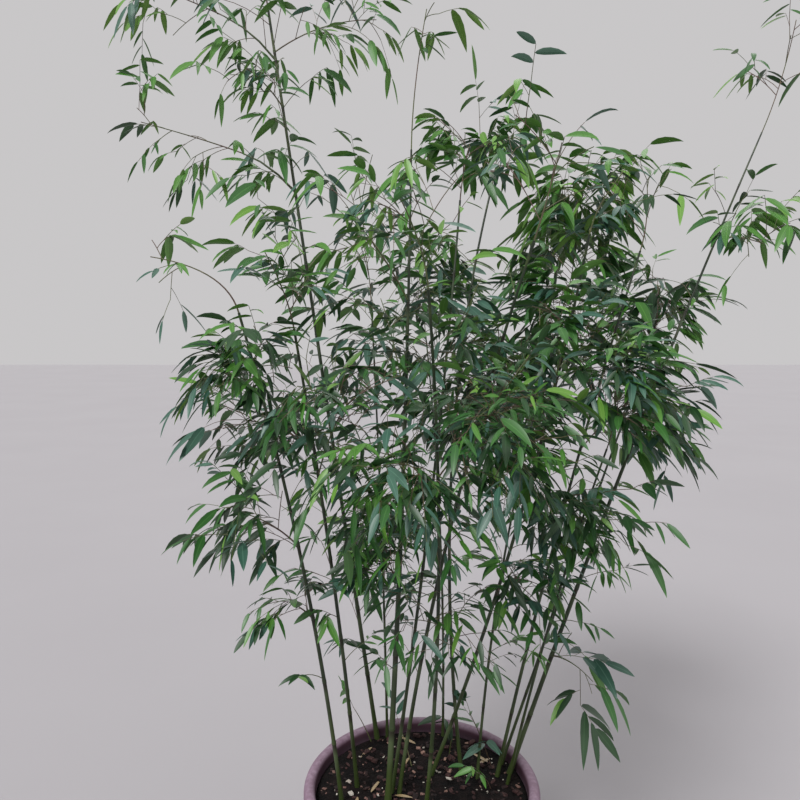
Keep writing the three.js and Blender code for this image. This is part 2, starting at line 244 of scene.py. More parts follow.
def leafFinish(name, look):
    finish = Finish(name)
    across, along = finish.parts(finish.node("ShaderNodeUVMap", {}, uv_map="leafMap"), "XY")
    rib = (across - 0.5).size().ramp(0.06, 0.015)
    veins = (across * 60.0).wave()
    drift = finish.noise(5.0, 2.0)
    mottle = finish.noise(34.0, 2.0)
    colour = finish.layers(
        look, "upper", (drift.ramp(0.34, 0.66) * 0.5, "under"), (finish.attribute("underside"), "under"),
        ((1 - veins) * 0.06 + mottle * 0.14, "deep"), (rib * 0.35 + along.ramp(0.86, 1.0) * 0.25, "rib"))
    rough = 0.35 + mottle * 0.14 + veins * 0.04
    return finish.close(colour, rough.held(), finish.relief(mottle, 0.0006, 0.3))


def dress(piece, material, slot, *nodes):  # a finished piece stands for its nodes
    piece.data.materials.clear()
    piece.data.materials.append(material)
    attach(piece, "root")
    if nodes:
        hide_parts(*nodes)


# Modelling

hair = 0.001  # places this near, in metres, count as one
# Edges up to so many degrees are shaded round
roundUpTo = {"pot": 38, "soil": 70, "cane": 60, "twig": 50, "leaf": 50, "chip": 45}


def active(piece):
    bpy.ops.object.select_all(action="DESELECT")
    piece.select_set(True)
    bpy.context.view_layer.objects.active = piece


def inMode(mode):
    bpy.ops.object.mode_set(mode=mode)


def pickNone(kind):
    inMode("EDIT")
    bpy.ops.mesh.select_mode(type=kind)
    bpy.ops.mesh.select_all(action="DESELECT")
    inMode("OBJECT")


def pickUpward(piece, least):  # leaves edit mode on, with the faces picked that look up
    pickNone("FACE")
    for face in piece.data.polygons:
        face.select = face.normal.z > least
    inMode("EDIT")


def pickRings(piece, test):  # the same for edges that run level round the piece, by both ends
    pickNone("EDGE")
    points = piece.data.vertices
    for edge in piece.data.edges:
        start, end = (points[corner].co for corner in edge.vertices)
        isLevel = abs(start.z - end.z) < hair and abs(start.xy.length - end.xy.length) < hair
        edge.select = isLevel and test(start) and test(end)
    inMode("EDIT")


def cylinder(sides, radius, depth, centre):
    bpy.ops.mesh.primitive_cylinder_add(vertices=sides, radius=radius, depth=depth, location=centre)
    bpy.ops.object.transform_apply(location=True, rotation=True, scale=True)
    return bpy.context.object


def applied(piece, kind, **settings):
    active(piece)
    bpy.ops.object.modifier_add(type=kind)
    modifier = piece.modifiers[-1]
    setAll(modifier, settings)
    bpy.ops.object.modifier_apply(modifier=modifier.name)


def smoothed(piece, kind):
    active(piece)
    bpy.ops.object.shade_smooth_by_angle(angle=math.radians(roundUpTo[kind]))
    piece.select_set(False)


def meshPiece(name, points, faces):  # points in millimetres
    mesh = bpy.data.meshes.new(name)
    mesh.from_pydata((points * mm).tolist(), [], faces)
    piece = bpy.data.objects.new(name, mesh)
    bpy.context.scene.collection.objects.link(piece)
    return piece


def giveValues(piece, name, domain, values):
    made = piece.data.attributes.new(name, "FLOAT", domain)
    made.data.foreach_set("value", np.array(values, np.float32))


# The plan, in millimetres. Each cane: name, radius, foot, bend, tip, boughs, masses.
# A bough: name, share of the cane where it leaves, heading in degrees, reach, rise, the mass at its end.
# A mass: name, share of the cane (none at a bough's end), heading, reach, rise, spread and number
# of its twigs, and how full it stands, or None where its place tells.

canePlan = [
    ("left", 4.6, (-173, -49), (-225, -85, 915), (-350, -150, 1425), [], [
        ("left_top", 1, -170, 155, 100, 65, 5, 0.08),
        ("left_upper", 0.86, -85, 100, 60, 90, 5, 0.5),
        ("left_low", 0.55, -155, 110, 80, 100, 5, 0.3),
        ("left_lowest", 0.4, -170, 50, 40, 70, 2, 0.3),
    ]),
    ("left_inner", 4.6, (-144, 11), (-180, -45, 890), (-250, -130, 1395), [], [
        ("left_inner_top", 1, -140, 60, 140, 120, 5, 0.28),
        ("left_inner_side", 0.76, 150, 180, 50, 130, 6, 0.7),
        ("left_inner_front", 0.71, -70, 260, 180, 130, 6, None),
    ]),
    ("tall", 5.4, (-105, 196), (-230, 210, 1255), (-355, 230, 2145), [
        ("tall_left", 0.76, 172, 130, 95, ("tall_far_left", -152, 225, 40, 80, 5, 0.09)),
        ("tall_high", 0.93, 178, 120, 100, ("tall_high_left", -168, 185, 60, 90, 5, 0.12)),
    ], [
        ("tall_top", 1, 170, 120, 160, 100, 5, 0.14),
        ("tall_high_right", 0.94, 10, 240, 90, 90, 5, 0.11),
        ("tall_high_front", 0.87, -130, 110, 60, 80, 5, 0.16),
    ]),
    ("back_left", 3.4, (-80, 205), (-90, 235, 920), (-120, 290, 1470), [], [
        ("back_left_top", 1, 150, 60, 270, 140, 6, 0.06),
    ]),
    ("thick", 6.6, (-74, -45), (-35, -35, 1065), (-25, -20, 1755), [], [
        ("whip", 1, 0, 30, 270, 60, 2, 0.03),
        ("thick_left", 0.78, -145, 140, 160, 140, 6, 0.1),
        ("thick_right", 0.62, -45, 170, 150, 140, 7, 0.7),
        ("thick_back", 0.63, 110, 160, 220, 140, 6, 0.45),
        ("thick_low", 0.36, -160, 75, 60, 85, 5, 1.0),
    ]),
    ("fan_front", 4.5, (-50, -20), (20, -90, 965), (190, -210, 1550), [], [
        ("fan_front_top", 1, -40, 50, 160, 135, 7, 0.11),
    ]),
    ("fan_back", 4.2, (-66, -16), (35, 55, 1030), (90, 170, 1690), [], [
        ("fan_back_top", 1, 40, 30, 130, 130, 6, None),
    ]),
    ("front", 4.5, (8, -62), (50, -145, 910), (0, -280, 1460), [], [
        ("front_top", 1, -145, 70, 160, 130, 6, 0.2),
        ("front_left", 0.61, -120, 190, 160, 125, 7, None),
        ("front_right", 0.69, -60, 200, 120, 125, 7, None),
        ("front_low", 0.4, -100, 75, 50, 90, 5, 0.22),
    ]),
    ("middle", 4.5, (94, 58), (15, 150, 1095), (175, 300, 1730), [], [
        ("middle_top", 1, 0, 20, 120, 110, 5, None),
        ("middle_side", 0.51, 55, 220, 200, 140, 6, None),
    ]),
    ("back", 3.3, (60, 205), (70, 270, 885), (20, 375, 1380), [], [
        ("back_top", 1, 115, 40, 190, 150, 6, 0.45),
    ]),
    ("leaning", 4.5, (23, 47), (230, 5, 960), (325, -70, 1580), [], [
        ("leaning_top", 1, -30, 60, 110, 130, 6, 0.05),
        ("leaning_left", 0.66, -80, 150, 250, 140, 7, 1.0),
        ("leaning_right", 0.5, -65, 210, 120, 130, 6, 0.4),
        ("leaning_low", 0.38, -60, 85, 60, 90, 5, 0.4),
    ]),
    ("back_right", 3.4, (128, 36), (175, 135, 925), (365, 290, 1470), [], [
        ("back_right_top", 1, 60, 70, 270, 140, 8, 0.6),
    ]),
    ("right_inner", 4.2, (175, 47), (300, 75, 965), (490, 120, 1570), [], [
        ("right_inner_top", 1, 0, 10, 150, 120, 6, 0.07),
        ("right_inner_left", 0.72, 110, 100, 230, 140, 7, 1.0),
        ("right_inner_right", 0.63, -15, 120, 120, 140, 6, None),
    ]),
    ("right_back", 3.8, (190, 88), (375, 170, 865), (585, 310, 1345), [], [
        ("right_back_top", 1, 60, 80, 180, 90, 6, 0.35),
    ]),
    ("right_front", 3.4, (195, 20), (260, -45, 790), (350, -140, 1165), [], [
        ("right_front_top", 1, -100, 50, 180, 100, 7, 0.75),
    ]),
    ("right", 5.4, (206, 60), (445, 80, 1105), (745, 110, 1825), [], [
        ("right_top", 1, 10, 70, 240, 100, 6, 0.08),
        ("right_side", 0.84, -50, 100, -20, 90, 4, 0.15),
        ("right_lowest", 0.19, -55, 90, 0, 80, 3, 0.07),
    ]),
]

# Growth. The plan's rule is repeated as it stands, so that stems, twigs and the places of leaves
# agree with the frame's solids, and then it is carried on to finer twigs and sprays.

growth = Values(
    potRadius=260, potHeight=400, soilTop=375, overPot=20, overGround=40, gap=0.3,
    caneTip=0.55, flare=0.3, flareReach=0.02, caneSteps=16, boughSteps=8, massSteps=10,
    sideShare=0.85, boughTip=0.85, stemRadius=3.2, stemSteps=4, bend=0.45, arch=0.16,
    spaceMargin=3, seed=101, seedStep=37,
)
# A pair that is handed to a draw is the least of its value and what chance may add to it
twigRule = Values(
    start=0.22, along=0.7, longest=1.15, shorter=0.5, lengths=(0.8, 0.4), onward=0.6,
    over=0.8, lift=0.15, arch=0.06, drop=0.12, clearance=3,
    tested=(0.4, 0.6, 0.8, 1), tries=(1, 0.7, 0.45, 0.25),
)
bladeRule = Values(
    length=85, perSpread=0.6, lengths=(0.85, 0.3), width=0.2, widestAt=0.34, arch=0.07,
    onward=0.85, droop=0.85, endDroop=0.55, roll=1.3, endTurn=0.5, sideTurn=(0.5, 0.35),
    atSides=2, sideFrom=0.55, sideStep=0.35, clearance=11, spacing=20, narrow=0.3,
    tested=(0.12, 0.34, 0.56, 0.78, 1),
    tries=((1, 1), (-1, 1), (1, 0.8), (-1, 0.8), (1, 0.62), (-1, 0.62)),
)
# What the scene has thinner than the plan: the tips of two canes, the boughs and every stem
slim = Values(
    canes=("cane_thick", "cane_right"), caneTip=0.45, stem=0.65, stemTip=0.4, twig=0.55,
    twigThinning=0.6, least=0.9,
)
smooth = 1000  # steps that leave a curve as good as round
# Draws are the plan's own, so they repeat it exactly
drawStep, drawShift, drawRange = 1664525, 1013904223, 2**32


def seeded(state):
    def draw(least=0, spare=1):
        nonlocal state
        state = (state * drawStep + drawShift) % drawRange
        return least + spare * (state / drawRange)

    return draw


def unit(vector):
    return vector / norm(vector)


def levelSide(direction):  # level, and square to the direction
    return unit(np.cross(direction, up))


def turned(vector, axis, angle):  # a vector square to the axis, turned about it
    return vector * math.cos(angle) + np.cross(axis, vector) * math.sin(angle)


def pointAt(curve, share):
    start, bend, end = curve
    rest = 1 - share
    return rest * rest * start + 2 * rest * share * bend + share * share * end


def onwardAt(curve, share):
    return unit(pointAt(curve, min(1, share + 1e-4)) - pointAt(curve, max(0, share - 1e-4)))


def pointOn(curve, steps, share):  # on the straight pieces that the steps leave of the curve
    ring = min(int(share * steps), steps - 1)
    low = pointAt(curve, ring / steps)
    return low + (pointAt(curve, (ring + 1) / steps) - low) * (share * steps - ring)


def caneRadius(radius, share):
    flare = 1 + growth.flare * math.exp(-share / growth.flareReach)
    return radius * (1 + (growth.caneTip - 1) * share) * flare


def slimmer(node, share):
    return 1 - slim.caneTip * share**2 if node in slim.canes else 1.0


def outwardFrom(heading):
    return np.array((math.cos(math.radians(heading)), math.sin(math.radians(heading)), 0))


def arching(start, heading, reach, rise):
    outward = outwardFrom(heading)
    bend = start + outward * reach * growth.bend + up * (rise * 0.5 + reach * growth.arch)
    return (start, bend, start + outward * reach + up * rise)


def growingOn(curve, heading, reach, rise):
    onward = onwardAt(curve, 1)
    start = curve[2] + onward * growth.gap
    bend = start + onward * math.hypot(reach, rise) * growth.bend
    return (start, bend, start + outwardFrom(heading) * reach + up * rise)


def straightPieces(curve, count):
    points = np.array([pointAt(curve, i / count) for i in range(count + 1)])
    return points[:-1], points[1:]


def distances(starts, ends, points):
    along = ends - starts
    offset = points[:, None] - starts
    share = np.clip((offset * along).sum(2) / (along * along).sum(1), 0, 1)
    return norm(offset - share[..., None] * along, axis=2)


masses = []
shafts = []  # the straight pieces of every cane and bough, with their radius


def planMass(name, spread, twigs, full, curve, radius):
    masses.append(Values(name=name, spread=spread, twigs=twigs, full=full, curve=curve, radius=radius))


def planShaft(curve, count, radius):
    starts, ends = straightPieces(curve, count)
    shafts.append((starts, ends, np.full(count, radius)))


def sideRadius(thick, at):
    return min(growth.stemRadius, caneRadius(thick, at) * growth.sideShare)


limbs = []  # canes and boughs: node, curve, radius, shares of the length where limbs leave
for caneName, thick, foot, bend, tip, boughRows, massRows in canePlan:
    node = "cane_" + caneName
    foot = (*foot, growth.soilTop + growth.gap)
    caneCurve = tuple(np.array(place, float) for place in (foot, bend, tip))
    limbs.append((node, caneCurve, thick, sorted(row[1] for row in (*boughRows, *massRows))))
    planShaft(caneCurve, growth.caneSteps, thick)
    for name, at, heading, reach, rise, (massName, *way, spread, twigs, full) in boughRows:
        boughCurve = arching(pointAt(caneCurve, at), heading, reach, rise)
        side = sideRadius(thick, at)
        limbs.append(("bough_" + name, boughCurve, side, []))
        planShaft(boughCurve, growth.boughSteps, side)
        planMass(massName, spread, twigs, full, growingOn(boughCurve, *way), side * growth.boughTip)
    for name, at, heading, reach, rise, *form in massRows:
        if at == 1:
            stem = caneRadius(thick, 1) * slimmer(node, 1)
            planMass(name, *form, growingOn(caneCurve, heading, reach, rise), stem)
        else:
            stemCurve = arching(pointAt(caneCurve, at), heading, reach, rise)
            planMass(name, *form, stemCurve, sideRadius(thick, at))

shaftStarts, shaftEnds, shaftRadii = (np.concatenate(column) for column in zip(*shafts))
massLines = [straightPieces(mass.curve, growth.massSteps) for mass in masses]
spaceStarts, spaceEnds = (np.concatenate(column) for column in zip(*massLines))


def isFree(points, index, clearance):  # in the mass's own space, off the canes, above pot and soil
    isOverPot = np.hypot(points[:, 0], points[:, 1]) < growth.potRadius + growth.overPot
    lowest = np.where(isOverPot, growth.potHeight + growth.overPot, growth.overGround)
    if (points[:, 2] < lowest).any():
        return False
    if (distances(shaftStarts, shaftEnds, points) < shaftRadii + clearance).any():
        return False
    near = distances(spaceStarts, spaceEnds, points)
    near = near.reshape(len(points), -1, growth.massSteps).min(2)
    own = near[:, index] + growth.spaceMargin
    near[:, index] = np.inf
    return bool((near.min(1) > own).all())


def bladeIsFree(blade, index, taken):
    root, direction, across, length = blade
    normal = np.cross(across, direction)
    widest = bladeRule.widestAt
    tested, outer = [], []
    for share in bladeRule.tested:
        form = share / widest if share < widest else (1 - share) / (1 - widest)
        middle = root + direction * share * length + normal * form * bladeRule.arch * length
        sideways = across * bladeRule.width * length * form * 0.5
        isWide = form > bladeRule.narrow
        tested += [middle - sideways, middle, middle + sideways] if isWide else [middle]
        if share >= widest:
            outer.append(middle)
    if not isFree(np.array(tested), index, bladeRule.clearance):
        return False
    apart = np.array(taken or [np.full(3, np.inf)]) - np.array(outer)[:, None]
    if (norm(apart, axis=2) < bladeRule.spacing).any():
        return False
    taken += outer
    return True


def findBlade(curve, steps, share, turn, index, taken, random):
    onward = onwardAt(curve, share)
    beside = levelSide(onward)
    droop = random(bladeRule["endDroop" if share == 1 else "droop"])
    length = bladeRule.length + bladeRule.perSpread * masses[index].spread
    length *= random(*bladeRule.lengths)
    roll = (random() - 0.5) * bladeRule.roll
    for side, shorter in bladeRule.tries:
        direction = unit(onward * bladeRule.onward + beside * turn * side - up * droop)
        across = turned(levelSide(direction), direction, roll)
        blade = (pointOn(curve, steps, share), direction, across, length * shorter)
        if bladeIsFree(blade, index, taken):
            return (pointAt(curve, share), *blade[1:])
    return None


def twigFrom(curve, steps, share, turn, length):
    onward = onwardAt(curve, share)
    side = levelSide(onward)
    over = np.cross(side, onward)
    direction = unit(onward * twigRule.onward + side * math.cos(turn)
                     + over * math.sin(turn) * twigRule.over + up * twigRule.lift)
    start = pointOn(curve, steps, share)
    reach = direction * length
    bend = start + reach / 2 + up * length * twigRule.arch
    return (start, bend, start + reach - up * length * twigRule.drop)


# How full the plant stands: everywhere low and near its middle, open at the top and far out
fullness = Values(
    seed=9090, highest=1260, slope=0.4, fade=420, middle=90, widest=300,
    narrowest=150, narrowing=0.4, outFade=240, wideFrom=1100, lowest=950, lowFade=620,
    least=0.16, planned=1.5, leftEdge=-290, leftFade=110, leftUnder=1480,
)


def fading(past, reach):
    return 1 - max(0.0, past) / reach


def fullAt(point, index):
    x, z = point[0], point[2]
    past = fullness.leftEdge - x if z < fullness.leftUnder else 0.0
    edge = max(0.0, fading(past, fullness.leftFade))
    given = masses[index].full
    if given:
        return given * edge
    highest = fullness.highest + fullness.slope * x  # the full part leans to the right
    high = fading(z - highest, fullness.fade)
    low = fading(fullness.lowest - z, fullness.lowFade)
    under = max(0.0, fullness.wideFrom - z)
    wide = max(fullness.narrowest, fullness.widest - fullness.narrowing * under)
    out = fading(abs(x - fullness.middle) - wide, fullness.outFade)
    return max(fullness.least, min(high, low, out)) * edge


twigTubes = []  # curve, radius at its start and end, rings, sides
# The rings and sides of each kind of tube
tubeForms = {"stem": (14, 7), "twig": (7, 5), "finer": (5, 4), "spray": (4, 4), "shoot": (9, 5)}
sprays = []  # a blade, as root, direction, across and length, and the size of its leaves
leafSizes = {"right_lowest": 1.7, "tall": 0.82}  # masses, by how their names start, whose leaves differ
thinning = seeded(fullness.seed)


def addTube(form, curve, radius, tip):
    twigTubes.append((curve, radius, tip, *tubeForms[form]))


def addSprays(blades, index):
    name = masses[index].name
    size = next((size for start, size in leafSizes.items() if name.startswith(start)), 1.0)
    sprays.extend((blade, size) for blade in blades)


def bladeAt(twig, share, aside, rise, length):
    onward = onwardAt(twig, share)
    direction = unit(onward + levelSide(onward) * aside + up * rise)
    return (pointAt(twig, share), direction, levelSide(direction), length)


def growShoot(curve, steps, index, taken, random):
    turn = (random() - 0.5) * bladeRule.endTurn
    blades = [findBlade(curve, steps, 1, turn, index, taken, random)]
    for i in range(bladeRule.atSides):
        turn = (1 if i % 2 else -1) * random(*bladeRule.sideTurn)
        share = bladeRule.sideFrom + bladeRule.sideStep * i
        blades.append(findBlade(curve, steps, share, turn, index, taken, random))
    kept = [blade for blade in blades
            if blade and thinning() < fullness.planned * fullAt(blade[0], index)]
    addSprays(kept, index)
    return len(kept) > 0


def growMass(index, seed):
    mass = masses[index]
    curve, steps = mass.curve, growth.stemSteps
    random = seeded(seed)
    taken, shoots = [], []
    growShoot(curve, steps, index, taken, random)
    turn = random() * math.tau
    for i in range(mass.twigs):
        share = twigRule.start + twigRule.along * i / (mass.twigs - 1)
        length = mass.spread * (twigRule.longest - twigRule.shorter * share)
        length *= random(*twigRule.lengths)
        turn += golden
        for size in twigRule.tries:
            tried = twigFrom(curve, steps, share, turn, length * size)
            tested = np.array([pointAt(tried, at) for at in twigRule.tested])
            if isFree(tested, index, twigRule.clearance):
                leafy = growShoot(tried, 1, index, taken, random)
                shoots.append((share, (pointAt(curve, share), *tried[1:]), leafy))
                break
    stem = mass.radius * slim.stem
    finely = seeded(seed + finer.seed)
    addTube("stem", curve, stem, max(slim.least, stem * slim.stemTip))
    growFiner(index, curve, "onStem", taken, finely)
    for share, twig, leafy in shoots:
        if growFiner(index, twig, "onTwig", taken, finely) or leafy:
            thick = max(slim.least, stem * (1 - slim.twigThinning * share) * slim.twig)
            addTube("twig", twig, thick, finer.radius)


# The rule carried on: thinner twigs stand between the plan's own and end in sprays too
finer = Values(
    seed=5000, onStem=18, onTwig=11, start=0.15, along=0.8, uneven=0.7, reach=0.8,
    lengths=(0.45, 0.65), radius=0.8, tip=0.65, tested=(0.5, 1), twigClearance=2,
    clearance=5, spacing=8, shoots=2, apart=0.4, aparts=(0.7, 0.6), endTurn=(0, 0.5),
    turn=(0.6, 0.5), rise=(0.3, -0.9), spray=80, sprays=(0.75, 0.5),
    highest=cadBox[1][2] / mm - 20, nearest=cadBox[0][1] / mm, farthest=cadBox[1][1] / mm,
)


def growFiner(index, base, count, taken, random):
    turn = random() * math.tau
    isLeafy = False
    for i in range(finer[count]):
        share = finer.start + finer.along * random(i, finer.uneven) / finer[count]
        length = masses[index].spread * finer.reach * random(*finer.lengths)
        turn += golden
        twig = twigFrom(base, smooth, share, turn, length)
        tested = np.array([pointAt(twig, at) for at in finer.tested])
        if random() > fullAt(twig[0], index) or not isFree(tested, index, finer.twigClearance):
            continue
        found = []
        for k in range(finer.shoots):
            at = 1 - finer.apart * k * random(*finer.aparts)
            found.append(findSpray(twig, at, (1 if (i + k) % 2 else -1), index, taken, random))
        if any(found):
            addTube("finer", twig, finer.radius, finer.tip)
            addSprays([blade for blade in found if blade], index)
            isLeafy = True
    return isLeafy


def findSpray(twig, share, side, index, taken, random):
    turn = random(*finer["endTurn" if share == 1 else "turn"]) * side
    root, direction, across, length = bladeAt(twig, share, turn, random(*finer.rise), finer.spray)
    end = root + direction * length
    middle = (root + end) / 2
    if end[2] > finer.highest or not finer.nearest < end[1] < finer.farthest:
        return None
    if not isFree(np.array((middle, end)), index, finer.clearance):
        return None
    if taken and (norm(np.array(taken) - middle, axis=1) < finer.spacing).any():
        return None
    taken.append(middle)
    return (root, direction, across, length * random(*finer.sprays))


for index in range(len(masses)):
    growMass(index, growth.seed + growth.seedStep * index)

# Short leafy twigs straight from the canes and boughs, with more and longer ones on the tall cane
tufts = Values(
    seed=770, lowest=600, highest=2150, share=0.5, lowUnder=1100, lowShare=0.7,
    reach=(45, 75), leafiest="cane_tall", longer=1.8, sprays=(1, 2), step=0.4,
    aside=(0.4, 0.5), rise=(0.1, -0.7), length=(0.7, 0.4),
    apart=Values(cane=95, bough=30, leafiest=46),
)


def growTufts(node, curve, random):
    isBough = node.startswith("bough")
    isLeafiest = node == tufts.leafiest
    apart = tufts.apart["leafiest" if isLeafiest else "bough" if isBough else "cane"]
    count = int(norm(curve[2] - curve[0]) / apart)
    turn = random() * math.tau
    for i in range(1, count):
        height = pointAt(curve, i / count)[2]
        turn += golden
        isTaken = random() < tufts["share" if height > tufts.lowUnder else "lowShare"]
        if not (isTaken or isBough or isLeafiest) or not tufts.lowest < height < tufts.highest:
            continue
        reach = random(*tufts.reach) * (tufts.longer if isLeafiest else 1)
        twig = twigFrom(curve, smooth, i / count, turn, reach)
        addTube("finer", twig, slim.least, finer.tip)
        for k in range(int(random(*tufts.sprays))):
            aside = random(*tufts.aside) * (1 if k else -1)
            rise = random(*tufts.rise)
            length = finer.spray * random(*tufts.length)
            sprays.append((bladeAt(twig, 1 - tufts.step * k, aside, rise, length), 1.0))


tuftDraw = seeded(tufts.seed)
for node, curve, radius, leaving in limbs:
    growTufts(node, curve, tuftDraw)

# Young shoots from the bed. Each row: foot, heading, reach, rise, sprays.
sprouts = Values(
    rows=((168, 80, 205, 60, 150, 3), (156, 6, 240, 60, 70, 2), (-118, 186, 185, 45, 95, 1),
             (70, 128, 290, 35, 120, 2), (-20, 90, 130, 50, 90, 1)),
    seed=616, sunk=6, radius=1.4, tip=0.8, step=0.3, rise=(0.2, -0.5), length=(70, 30),
)
sproutDraw = seeded(sprouts.seed)
for x, y, heading, reach, rise, count in sprouts.rows:
    shoot = arching(np.array((x, y, growth.soilTop - sprouts.sunk)), heading, reach, rise)
    addTube("shoot", shoot, sprouts.radius, sprouts.tip)
    for i in range(count):
        aside = (1 if i % 2 else -1) * (i > 0)
        rise, length = sproutDraw(*sprouts.rise), sproutDraw(*sprouts.length)
        sprays.append((bladeAt(shoot, 1 - sprouts.step * i, aside, rise, length), 1.0))

print("bamboo:", len(masses), "masses,", len(twigTubes), "twigs,", len(sprays), "sprays")

# Sprays. Each blade of the plan stands for a small fan of leaves on its own short twig.

spray = Values(
    seed=4711, leaves=(2, 4), twigShare=(0.5, 0.2), twigRadius=0.6, twigTip=0.75,
    arch=0.1, lift=0.35, liftLeast=0.4, aside=0.3, leafLength=(50, 38),
    size=(0.68, 0.45), lowSize=0.85, lowUnder=950, fartherLarger=0.0007, farSize=1.22,
    spread=0.45, spreadSpare=0.65, step=0.24, hang=(0.1, 0.9), topHang=0.45,
    topFrom=1550, hangs=(0.4, 0.6), roll=1.7, width=(0.17, 0.08), sag=(0.04, 0.32),
    bow=0.12, fold=0.24, thick=0.45, youngTips=0.09,
)

# Leaf tones: the share of sprays that has each low down and at the top, where more light falls,
# and the colours of upper side and underside. The shift to lighter tones at the top is painted light,
# and the larger share of dark leaves low down is painted shade. Low down only the odd leaf at a
# spray's tip is young.
leafTones = {
    # The darkest tone is partly a real dark green and partly painted shade of the crown's inside
    "Deep": (0.36, 0.06, (18, 51, 22), (42, 78, 38)),
    "Mid": (0.28, 0.26, (33, 82, 29), (64, 110, 48)),
    # The blue-grey leaves are partly a real bluish tone and partly a painted sheen, a reflection of the sky
    "Blue": (0.21, 0.12, (43, 83, 68), (80, 115, 96)),
    "Fresh": (0.15, 0.40, (55, 108, 32), (86, 132, 54)),
    "Young": (0.0, 0.16, (84, 132, 42), (106, 146, 64)),
}
# Painted light: from these heights the leaf tones turn lighter
paintedLightHeights = (1300, 1650)  # from this height in millimetres, and fully from this one
leafShade = Values(deep=0.62, rib=1.15, ribLift=14)  # a leaf's darker parts and its midrib
leaves = {tone: [] for tone in leafTones}


def leafLook(upper, under):
    deep = [leafShade.deep * value for value in upper]
    rib = [leafShade.rib * value + leafShade.ribLift for value in under]
    return Values(upper=upper, under=under, deep=deep, rib=rib)


def toneOf(share, height):
    high = min(1, max(0, (height - paintedLightHeights[0]) / (paintedLightHeights[1] - paintedLightHeights[0])))
    for tone, (lowShare, topShare, *colours) in leafTones.items():
        share -= lowShare + (topShare - lowShare) * high
        if share < 0:
            return tone
    return "Mid"


def growSpray(blade, larger, random):
    root, direction, across, length = blade
    onward = unit(direction + up * spray.lift * random(spray.liftLeast))
    beside = unit(np.cross(onward, up) + across * spray.aside)
    twigLength = length * random(*spray.twigShare)
    reach = onward * twigLength
    twig = (root, root + reach / 2 + up * twigLength * spray.arch, root + reach)
    addTube("spray", twig, spray.twigRadius, spray.twigRadius * spray.twigTip)
    tone = toneOf(random(), root[2])
    size = random(*spray.size) * larger
    size *= spray.lowSize if root[2] < spray.lowUnder else 1
    size *= min(spray.farSize, 1 + spray.fartherLarger * root[1])
    hang = random(*spray.hang) + spray.topHang * (root[2] > spray.topFrom)
    count = int(random(*spray.leaves))
    first = 1 if random() < 0.5 else -1
    for i in range(count):
        outward = random(spray.spread if i else 0, spray.spreadSpare)
        side = first * (1 if i % 2 else -1)
        heading = unit(onward * math.cos(outward) + beside * math.sin(outward) * side
                       - up * hang * random(*spray.hangs))
        leafAcross = turned(levelSide(heading), heading, (random() - 0.5) * spray.roll)
        leafLength = random(*spray.leafLength) * size
        leafRoot = pointAt(twig, max(0.0, 1 - spray.step * i))
        width = leafLength * random(*spray.width)
        sag = random(*spray.sag)
        isYoung = i == 0 and random() < spray.youngTips
        leaves["Young" if isYoung else tone].append((leafRoot, heading, leafAcross, leafLength, width, sag))


sprayDraw = seeded(spray.seed)
for blade, larger in sprays:
    growSpray(blade, larger, sprayDraw)
print("bamboo:", {tone: len(grown) for tone, grown in leaves.items()}, "leaves")

leafStations = np.array((0.07, 0.24, 0.45, 0.68, 0.87))
leafHalfWidths = np.array((0.52, 0.96, 1.0, 0.74, 0.36))
# How far across the corners of a ring lie: one edge, the fold, the other edge, under the fold
leafRing = (0.0, 0.5, 1.0, 0.5)


def leafFaces():  # the faces of one leaf, and whether each belongs to the underside
    last = 1 + 4 * (len(leafStations) - 1)
    faces, underside = [], []
    for k in range(4):
        after = (k + 1) % 4
        faces.append((0, 1 + after, 1 + k))
        faces += [(here + k, here + after, here + 4 + after, here + 4 + k) for here in range(1, last, 4)]
        faces.append((last + k, last + after, last + 4))
        underside += [k > 1] * (len(leafStations) + 1)
    return faces, underside


def leafMesh(name, grown):  # thin closed blades, folded a little along the middle
    root, heading, across, length, width, sag = (np.array(column, float) for column in zip(*grown))
    count = len(grown)
    share = np.concatenate(((0.0,), leafStations, (1.0,)))
    flat = length[:, None, None] * heading[:, None, :] * (share - spray.bow * share**3)[None, :, None]
    drop = (length * sag)[:, None, None] * -up * (share**2)[None, :, None]
    middle = root[:, None, :] + flat + drop
    onward = np.gradient(middle, axis=1)
    onward /= norm(onward, axis=2, keepdims=True)
    normal = np.cross(across[:, None, :], onward)
    normal /= norm(normal, axis=2, keepdims=True)
    rings = middle[:, 1:-1]
    half = (width[:, None] * 0.5 * leafHalfWidths)[..., None]
    raised = normal[:, 1:-1] * half * spray.fold
    sideways = across[:, None, :] * half
    under = rings - normal[:, 1:-1] * spray.thick
    body = np.stack((rings - sideways + raised, rings, rings + sideways + raised, under), axis=2)
    points = np.concatenate((middle[:, :1], body.reshape(count, -1, 3), middle[:, -1:]), axis=1)
    size = points.shape[1]
    faces, underside = leafFaces()
    allFaces = [[corner + size * i for corner in face] for i in range(count) for face in faces]
    across01 = np.concatenate(((0.5,), np.tile(leafRing, len(leafStations)), (0.5,)))
    along01 = np.concatenate(((0.0,), np.repeat(leafStations, len(leafRing)), (1.0,)))
    piece = meshPiece(name, points.reshape(-1, 3), allFaces)
    giveValues(piece, "underside", "FACE", underside * count)
    setLeafMap(piece, np.tile(np.stack((across01, along01), 1), (count, 1)))
    smoothed(piece, "leaf")
    return piece


def setLeafMap(piece, places):
    corners = np.empty(len(piece.data.loops), np.int32)
    piece.data.loops.foreach_get("vertex_index", corners)
    leafMap = piece.data.uv_layers.new(name="leafMap")
    leafMap.data.foreach_set("uv", places[corners].astype(np.float32).ravel())


